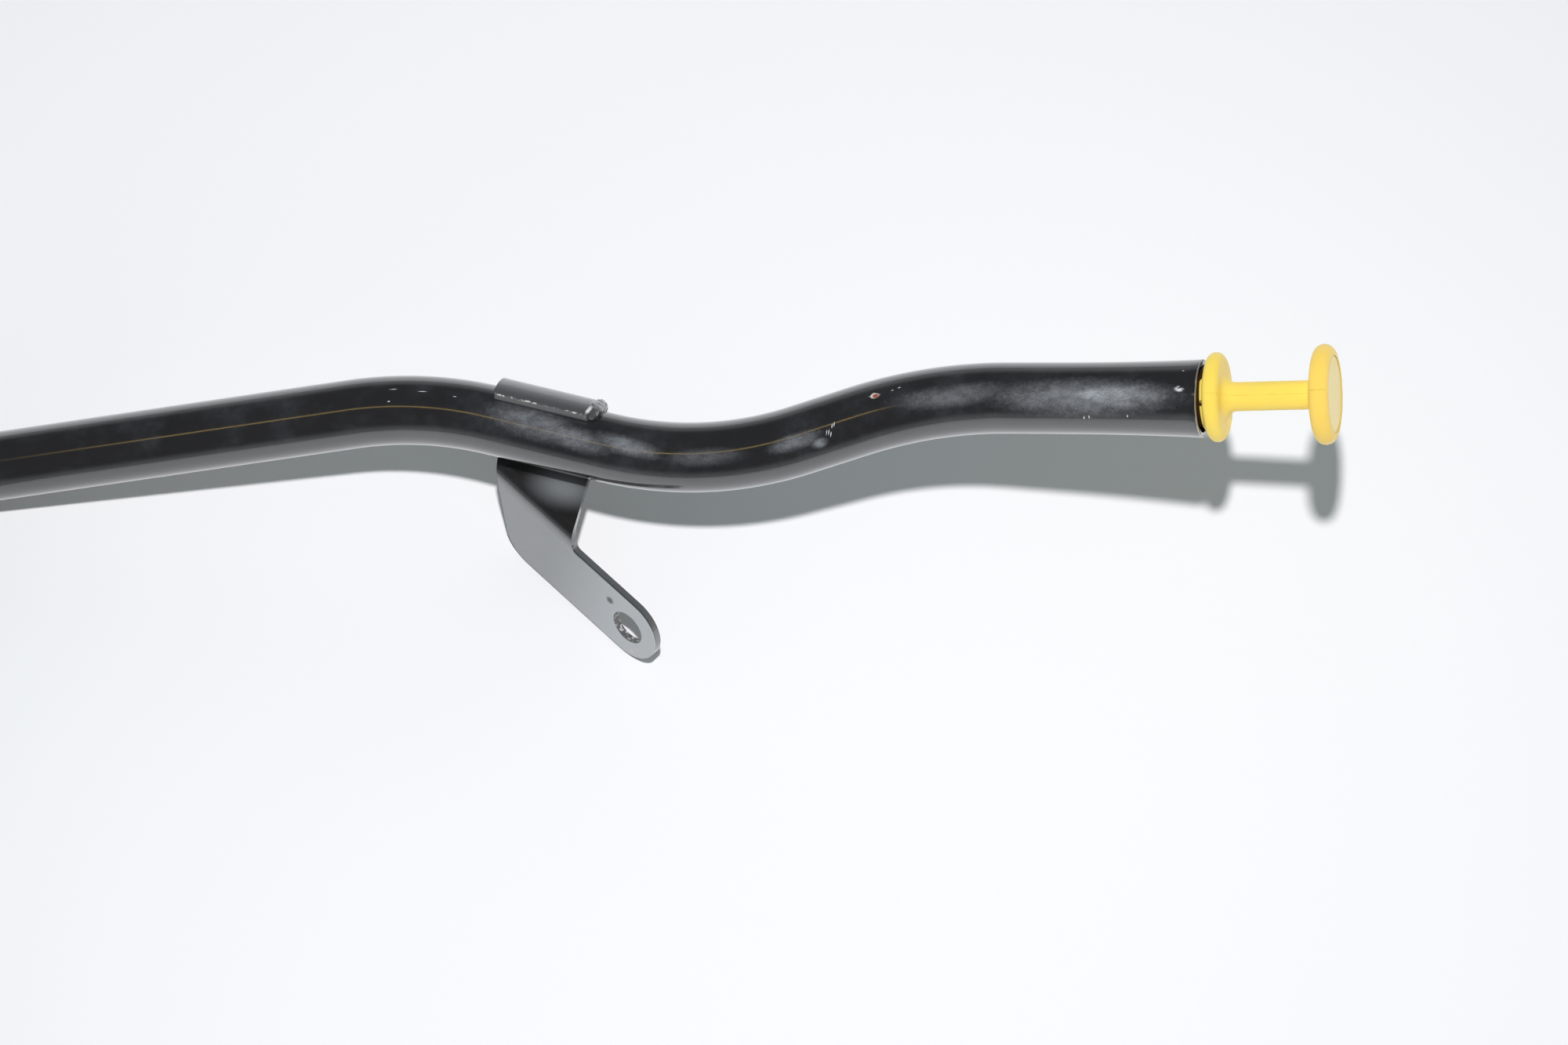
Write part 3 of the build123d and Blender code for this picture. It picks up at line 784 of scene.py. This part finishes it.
fill_sockets(
    tree,
    shader,
    {
        "Base Color": colour,
        "Roughness": mottled(tree, coords, 700.0, 0.30, 0.42),
        "Subsurface Weight": 0.55,
        "Subsurface Radius": (1.0, 0.9, 0.7),
        "Subsurface Scale": 1.1 * MM,
        "Specular IOR Level": 0.3,
        "Normal": bumped(tree, skin(tree, coords, 420.0), 0.18, 0.06 * MM),
    },
)

# Seal rubber: matt black with a fine moulded tooth
seal_rubber, tree, shader, coords = start_material("seal_rubber")
dust = use_group(tree, dust_film, {"Vector": coords, "Share": 0.06, "Grain": 1.0})
fill_sockets(
    tree,
    shader,
    {
        "Base Color": mixed(tree, dust["Mask"], RUBBER_BLACK, RUBBER_DUST),
        "Roughness": mottled(tree, coords, 900.0, 0.5, 0.66, 3.0),
        "Normal": bumped(tree, skin(tree, coords, 700.0), 0.3, 0.05 * MM),
    },
)

# Spring steel: rolled along its length, with a brown oil film in places
spring_steel, tree, shader, coords = start_material("spring_steel")
rolled = put(tree, "ShaderNodeMapping", {"Vector": coords, "Scale": (60, 2500, 2500)}).outputs["Vector"]
grain = noise(tree, rolled, 1.0, 4.0, 0.6)
oiled = ramp(tree, noise(tree, coords, 55.0, 4.0, 0.65), 0.45, 0.75)
fill_sockets(
    tree,
    shader,
    {
        "Base Color": layered(tree, mixed(tree, grain, *STRIP_STEEL), (times(tree, oiled, 0.45), OIL_FILM)),
        "Roughness": added(tree, grain, 0.22, ramp(tree, oiled, 0.0, 1.0, 0.26, 0.12)),
        "Metallic": 1.0,
        "Normal": bumped(tree, grain, 0.15, 0.02 * MM),
    },
)

# Tip plastic: dark moulding, oily in places
tip_plastic, tree, shader, coords = start_material("tip_plastic")
wet = ramp(tree, noise(tree, coords, 120.0, 3.0), 0.4, 0.65)
fill_sockets(
    tree,
    shader,
    {
        "Base Color": mixed(tree, wet, TIP_DRY, TIP_WET),
        "Roughness": between(tree, wet, 0.45, 0.18),
        "Normal": bumped(tree, skin(tree, coords, 900.0), 0.25, 0.05 * MM),
    },
)


# Guide tube: one ring pushed along the straight runs, spun round the bends and opened into the mouth
tube = start_ring("tube_body", spigot_centre, Vector((1, 0, 0)), Vector((0, 1, 0)), TUBE_RADIUS, TUBE_SIDES)
corners = [spigot_centre, lower_corner, crest_corner, trough_corner, neck_corner, neck_end]
bend_radii = [LOWER_BEND_RADIUS, CREST_BEND_RADIUS, TROUGH_BEND_RADIUS, NECK_BEND_RADIUS]
here = spigot_centre
for before, corner, after, bend_radius in zip(corners, corners[1:], corners[2:], bend_radii):
    into = (corner - before).normalized()
    out = (after - corner).normalized()
    bend = into.angle(out)
    setback = bend_radius * tan(bend / 2)
    bend_start = corner - into * setback
    push_ring(bend_start - here)
    bend_centre = bend_start + square_to(into, out) * bend_radius
    bpy.ops.mesh.spin(steps=BEND_STEPS, angle=-bend, center=bend_centre, axis=into.cross(out).normalized())
    here = corner + out * setback
push_ring(neck_end - here)
flare_rise = MOUTH_RADIUS - TUBE_RADIUS
flare_arc = (FLARE_LENGTH**2 + flare_rise**2) / (2 * flare_rise)
flare_radius = TUBE_RADIUS
for step in range(1, FLARE_STEPS + 1):
    reach = FLARE_LENGTH * step / FLARE_STEPS
    opened = TUBE_RADIUS + flare_arc - sqrt(flare_arc**2 - reach**2)
    push_ring(mouth_out * FLARE_LENGTH / FLARE_STEPS, opened / flare_radius, neck_end + mouth_out * reach)
    flare_radius = opened
close_mesh()
shaped(tube, "SOLIDIFY", thickness=TUBE_WALL, offset=-1.0, use_even_offset=True)
rounded_edges(tube, RIM_ROUNDING, 3, 50)
settle(tube, 35, "tube_assembly", "black_gloss_paint", black_paint, "guide_tube")


# Bracket: a flat blank cut to its outline, scored across each bend and then folded


def arm_on_blank(along, drop):
    """Where a point of the folded arm lies on the flat blank, as (along the strap, out from the tube)."""
    across = drop + FOLD_RADIUS * FOLD_TURN - 2 * fold_setback
    out = FOLD_REACH + across * cos(FOLD_SKEW) + along * sin(FOLD_SKEW)
    return Vector((along * cos(FOLD_SKEW) - across * sin(FOLD_SKEW), out))


def round_strap(angle):
    """The direction out of the strap at an angle round it, from straight down."""
    return strap_down * cos(angle) - flap_out * sin(angle)


def folded(point):
    """Where a point of the flat blank goes when the strap is wrapped and the flap is folded."""
    along, out = point.x, point.y
    if out < 0:
        return strap_centre + strap_run * along + round_strap(-out / SADDLE_RADIUS) * SADDLE_RADIUS
    on_fold = (out - FOLD_REACH) * sin(FOLD_SKEW) + along * cos(FOLD_SKEW)
    across = (out - FOLD_REACH) * cos(FOLD_SKEW) - along * sin(FOLD_SKEW)
    if across < -fold_setback:
        return flap_origin + strap_run * along + flap_out * out
    angle = min((across + fold_setback) / FOLD_RADIUS, FOLD_TURN)
    beyond = across + fold_setback - angle * FOLD_RADIUS
    level = fold_across * (FOLD_RADIUS * sin(angle) - fold_setback)
    drop = strap_down * FOLD_RADIUS * (1 - cos(angle))
    return fold_origin + fold_along * on_fold + level + drop + arm_down * beyond


def rounded_corner(before, corner, after, radius):
    """Points of the arc that rounds one corner of an outline."""
    into = (corner - before).normalized()
    out = (after - corner).normalized()
    bend = abs(into.angle_signed(out))
    if radius == 0 or bend < radians(0.5):
        return [corner]
    steps = SMALL_CORNER_STEPS if radius < SMALL_CORNER else LARGE_CORNER_STEPS
    setback = radius * tan(bend / 2)
    start = corner - into * setback
    side = square_to(into, out)
    centre = start + side * radius
    points = []
    for step in range(steps + 1):
        angle = bend * step / steps
        points.append(centre - side * radius * cos(angle) + into * radius * sin(angle))
    return points


half_strap = STRAP_WIDTH / 2
wrap_length = STRAP_WRAP * SADDLE_RADIUS
taper = tan(FLAP_TAPER)
skew_cos, skew_sin = cos(FOLD_SKEW), sin(FOLD_SKEW)
near_start = (taper * FOLD_REACH - half_strap) / (skew_cos - taper * skew_sin)
near_drift = (skew_sin + taper * skew_cos) * cos(FOLD_TURN) / (skew_cos - taper * skew_sin)
far_drift = cos(FOLD_TURN) * tan(FOLD_SKEW)
far_start = half_strap / skew_cos
arm_side_start = near_start + near_drift * ARM_TOP
arm_side_end = arm_side_start + (ARM_DROP - ARM_TOP) * tan(ARM_SIDE_SLANT)
far_fold = FOLD_REACH + (half_strap * skew_sin - fold_setback) / skew_cos
near_fold = (FOLD_REACH * skew_cos - half_strap * skew_sin - fold_setback) / (skew_cos - taper * skew_sin)
outline = [
    (Vector((-half_strap, -wrap_length)), STRAP_CORNER_RADIUS),
    (Vector((half_strap, -wrap_length)), STRAP_CORNER_RADIUS),
    (Vector((half_strap, far_fold)), 0),
    (arm_on_blank(far_start + far_drift * fold_setback, fold_setback), 0),
    (arm_on_blank(far_start + far_drift * ARM_TOP, ARM_TOP), ARM_NECK_RADIUS),
    (arm_on_blank(ARM_END, ARM_TOP), ARM_TIP_RADIUS),
    (arm_on_blank(ARM_END, ARM_DROP), ARM_TIP_RADIUS),
    (arm_on_blank(arm_side_end, ARM_DROP), ARM_HEEL_RADIUS),
    (arm_on_blank(arm_side_start, ARM_TOP), ARM_NECK_RADIUS),
    (arm_on_blank(near_start + near_drift * fold_setback, fold_setback), 0),
    (Vector((near_fold * taper - half_strap, near_fold)), 0),
    (Vector((-half_strap, 0)), 0),
]
edge_points = []
for i, (corner, radius) in enumerate(outline):
    before, after = outline[i - 1][0], outline[(i + 1) % len(outline)][0]
    edge_points += rounded_corner(before, corner, after, radius)

bpy.ops.object.select_all(action="DESELECT")
bpy.ops.mesh.primitive_circle_add(vertices=len(edge_points), radius=1.0)
bracket = bpy.context.object
bracket.name = "bracket_sheet"
bracket.data.name = "bracket_sheet"
for corner, point in zip(bracket.data.vertices, edge_points):
    corner.co = point.to_3d()
bpy.ops.object.mode_set(mode="EDIT")
hole_middle = arm_on_blank(BOLT_HOLE_ALONG, BOLT_HOLE_DROP).to_3d()
bpy.ops.mesh.primitive_circle_add(vertices=BOLT_HOLE_SIDES, radius=BOLT_HOLE_RADIUS, location=hole_middle)
bpy.ops.mesh.select_all(action="SELECT")
bpy.ops.mesh.fill()
for step in range(WRAP_STEPS):
    bpy.ops.mesh.select_all(action="SELECT")
    bpy.ops.mesh.bisect(plane_co=(0, -wrap_length * step / WRAP_STEPS, 0), plane_no=(0, 1, 0))
fold_square = Vector((-skew_sin, skew_cos, 0))
fold_arc = FOLD_RADIUS * FOLD_TURN
for step in range(FOLD_STEPS + 1):
    score = Vector((0, FOLD_REACH, 0)) + fold_square * (fold_arc * step / FOLD_STEPS - fold_setback)
    bpy.ops.mesh.select_all(action="SELECT")
    bpy.ops.mesh.bisect(plane_co=score, plane_no=fold_square)
bpy.ops.object.mode_set(mode="OBJECT")
for corner in bracket.data.vertices:
    corner.co = folded(corner.co)
bpy.ops.object.mode_set(mode="EDIT")
clean_mesh()
bpy.ops.mesh.dissolve_limited(angle_limit=radians(0.3))
bpy.ops.object.mode_set(mode="OBJECT")

# The sheet is built at its inner face, and thickens away from the side that the arm's face looks to
largest = max(bracket.data.polygons, key=lambda sheet: sheet.area)
if largest.normal.dot(arm_face) < 0:
    bracket.data.flip_normals()
shaped(bracket, "SOLIDIFY", thickness=SHEET, offset=-1.0, use_even_offset=True)
rounded_edges(bracket, SHEET_EDGE_ROUNDING, 3, 40, miter_outer="MITER_ARC")
settle(bracket, 30, "tube_assembly", "bracket_paint", bracket_paint, "bracket")
shaped(bracket, "WEIGHTED_NORMAL", keep_sharp=True)


# Tack weld: a bead of molten ripples along the strap's end, pulled up out of one ring


def weld_middle(angle):
    """The middle of the bead at an angle round the strap."""
    beside_strap = strap_centre + strap_run * (STRAP_WIDTH / 2 + WELD_PAST_STRAP)
    return beside_strap + round_strap(angle) * (SADDLE_RADIUS + WELD_OFF_SADDLE)


weld_out = round_strap(WELD_START)
weld_ahead = strap_down * sin(WELD_START) + flap_out * cos(WELD_START)
bead_radius = WELD_START_RADIUS
bead = start_ring("weld_bead", weld_middle(WELD_START), weld_out, weld_ahead, bead_radius, WELD_SIDES)
bpy.ops.mesh.edge_face_add()
for step in range(1, WELD_STEPS + 1):
    share = step / WELD_STEPS
    swollen = sqrt(max(WELD_LEAST_SWELL, 1 - (2 * share - 1) ** 4))
    ripple = 1 + sum(height * cos(step * turn) for height, turn in WELD_RIPPLES)
    next_radius = WELD_RADIUS * swollen * ripple
    bpy.ops.mesh.spin(steps=1, angle=WELD_SWEEP / WELD_STEPS, center=strap_centre, axis=strap_run)
    scale_ring(next_radius / bead_radius, weld_middle(WELD_START - WELD_SWEEP * share))
    bead_radius = next_radius
bpy.ops.mesh.edge_face_add()
close_mesh()
shaped(bead, "SUBSURF", levels=2, render_levels=2)
lumps = bpy.data.textures.new("weld_lumps", "CLOUDS")
lumps.noise_scale = WELD_LUMP_SIZE
shaped(bead, "DISPLACE", texture=lumps, texture_coords="LOCAL", strength=WELD_LUMP_HEIGHT, mid_level=0.5)
settle(bead, 60, "tube_assembly", "bracket_paint", bracket_paint, "bracket_weld")


# Handle: a ring pushed along the axis of the moulding from the plug's nose to the end face


def rounded(centre_along, centre_radius, arc_radius, start, end, steps):
    """Points of an arc in the handle's section, as (along, radius)."""
    points = []
    for step in range(steps + 1):
        angle = start + (end - start) * step / steps
        points.append((centre_along + arc_radius * sin(angle), centre_radius + arc_radius * cos(angle)))
    return points


def round_rim(back, radius, thickness, steps):
    """The full round of a flange's rim, from its back to its front."""
    half = thickness / 2
    return rounded(back + half, radius - half, half, -pi / 2, pi / 2, steps)


section = [
    (-PLUG_LENGTH, PLUG_RADIUS - PLUG_NOSE_CHAMFER),
    (-PLUG_LENGTH + PLUG_NOSE_CHAMFER, PLUG_RADIUS),
    (-SEAL_DEPTH - GROOVE_WIDTH / 2, PLUG_RADIUS),
    (-SEAL_DEPTH - GROOVE_WIDTH / 2, GROOVE_RADIUS),
    (-SEAL_DEPTH + GROOVE_WIDTH / 2, GROOVE_RADIUS),
    (-SEAL_DEPTH + GROOVE_WIDTH / 2, PLUG_RADIUS),
    (SEAT_GAP, PLUG_RADIUS),
    (SEAT_GAP, SHOULDER_RADIUS),
    (FLANGE_BACK, SHOULDER_RADIUS),
    *round_rim(FLANGE_BACK, FLANGE_RADIUS, FLANGE_THICKNESS, FLANGE_STEPS),
    *rounded(stem_start + FLANGE_FILLET, STEM_RADIUS + FLANGE_FILLET, FLANGE_FILLET, -pi / 2, -pi, FILLET_STEPS),
    (disc_back, STEM_RADIUS),
    *round_rim(disc_back, DISC_RADIUS, DISC_THICKNESS, DISC_STEPS),
    (disc_face, FACE_RADIUS),
    (disc_face - FACE_RECESS, FACE_RADIUS),
    (disc_face - FACE_RECESS, FACE_RADIUS / 2),
]
along, radius = section[0]
handle = start_ring("pull_handle", rim_centre + handle_out * along, parting_out, handle_out, radius, HANDLE_SIDES)
bpy.ops.mesh.edge_face_add()
for next_along, next_radius in section[1:]:
    centre = rim_centre + handle_out * next_along
    push_ring(handle_out * (next_along - along), next_radius / radius, centre)
    along, radius = next_along, next_radius
bpy.ops.mesh.edge_face_add()
close_mesh()

# Parting ridge: the two columns of corners where the mould's halves met stand a little proud
for corner in handle.data.vertices:
    out = corner.co - rim_centre
    on_parting = abs(out.dot(parting_side)) < ON_PARTING
    if on_parting and FLANGE_BACK + ON_PARTING < out.dot(handle_out) < disc_face - PARTING_STOP:
        corner.co += square_to(handle_out, out) * PARTING_RIDGE

# Notch in the shoulder's edge
bpy.ops.object.select_all(action="DESELECT")
bpy.ops.mesh.primitive_cube_add(size=1.0)
notch = bpy.context.object
notch_turn = turn_to(notch_out, handle_out.cross(notch_out), handle_out).to_4x4()
notch_place = rim_centre + handle_out * (FLANGE_BACK - NOTCH_LENGTH / 2) + notch_out * SHOULDER_RADIUS
notch_size = Matrix.Diagonal((2 * NOTCH_DEPTH, NOTCH_WIDTH, NOTCH_LENGTH, 1))
notch.matrix_world = Matrix.Translation(notch_place) @ notch_turn @ notch_size
bpy.ops.object.transform_apply(location=True, rotation=True, scale=True)
shaped(handle, "BOOLEAN", operation="DIFFERENCE", object=notch, solver="EXACT")
bpy.data.objects.remove(notch)
rounded_edges(handle, MOULD_ROUNDING, 2, 50)
settle(handle, 30, "dipstick", "yellow_plastic", yellow_plastic, "handle")

# Solids that keep their own shape
for node, material in (
    ("plug_seal", seal_rubber),
    ("dipstick_strip", spring_steel),
    ("level_tip", tip_plastic),
):
    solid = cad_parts[node]
    solid.data.materials.clear()
    solid.data.materials.append(material)

# Floor
bpy.ops.object.select_all(action="DESELECT")
bpy.ops.mesh.primitive_plane_add(size=FLOOR_SIZE, location=FLOOR_MIDDLE)
floor = bpy.context.object
floor.name = "floor"
floor_paper, tree, shader = start_material("floor_paper")[:3]
fill_sockets(tree, shader, {"Base Color": (*FLOOR_WHITE, 1.0), "Roughness": 0.9, "Specular IOR Level": 0.1})
floor.data.materials.append(floor_paper)

# Light: a small key beside the camera throws the crisp shadow. The walls of a dim room, brighter on the handle's
# side, fill it. What the gloss mirrors is darker, with a pale horizon and one thin golden strip overhead.
key_lamp = bpy.data.lights.new("key", "AREA")
key_lamp.shape = "DISK"
key_lamp.size = KEY_WIDTH
key_lamp.energy = KEY_POWER
key = bpy.data.objects.new("key", key_lamp)
key.location = KEY_PLACE
key.rotation_euler = (KEY_AIM - KEY_PLACE).to_track_quat("-Z", "Y").to_euler()
key.visible_glossy = False
bpy.context.scene.collection.objects.link(key)

room = bpy.data.worlds.new("room")
room.use_nodes = True
tree = room.node_tree
tree.nodes.clear()
looking = put(tree, "ShaderNodeTexCoord").outputs["Generated"]
sight = put(tree, "ShaderNodeSeparateXYZ", {"Vector": looking}).outputs
above = sum_up(tree, "ARCSINE", sight["Z"])
low_walls = fade(tree, above, 0.0, WALL_TOP)
wall_light = mixed(tree, ramp(tree, sight["X"], *HANDLE_SIDE), WALL, HANDLE_WALL)
walls = mixed(tree, low_walls, CEILING, wall_light)
horizon = fade(tree, above, 0.0, HORIZON_TOP)
tilt = sum_up(tree, "ARCTAN2", sight["Z"], times(tree, sight["Y"], -1.0))
strip_width = fade(tree, apart(tree, tilt, STRIP_TILT), *STRIP_EDGE)
strip_length = times(tree, ramp(tree, sight["X"], *STRIP_START), fade(tree, sight["X"], *STRIP_END))
strip = times(tree, strip_width, strip_length)
mirrored = layered(tree, mixed(tree, horizon, MIRRORED_CEILING, MIRRORED_HORIZON), (strip, MIRRORED_STRIP))
path = put(tree, "ShaderNodeLightPath").outputs
seen = layered(tree, walls, (path["Is Glossy Ray"], mirrored), (path["Is Camera Ray"], BACKDROP))
surround = put(tree, "ShaderNodeBackground", {"Color": seen, "Strength": 1.0})
put(tree, "ShaderNodeOutputWorld", {"Surface": surround.outputs["Background"]})
bpy.context.scene.world = room

# Camera
lens = bpy.data.cameras.new("camera")
lens.lens = CAMERA_LENS
lens.sensor_width = CAMERA_SENSOR
camera = bpy.data.objects.new("camera", lens)
camera.location = CAMERA_PLACE
camera.rotation_euler = (pi / 2 - CAMERA_ELEVATION, 0, 0)
bpy.context.scene.collection.objects.link(camera)
bpy.context.scene.camera = camera
bpy.context.scene.view_settings.view_transform = "Standard"
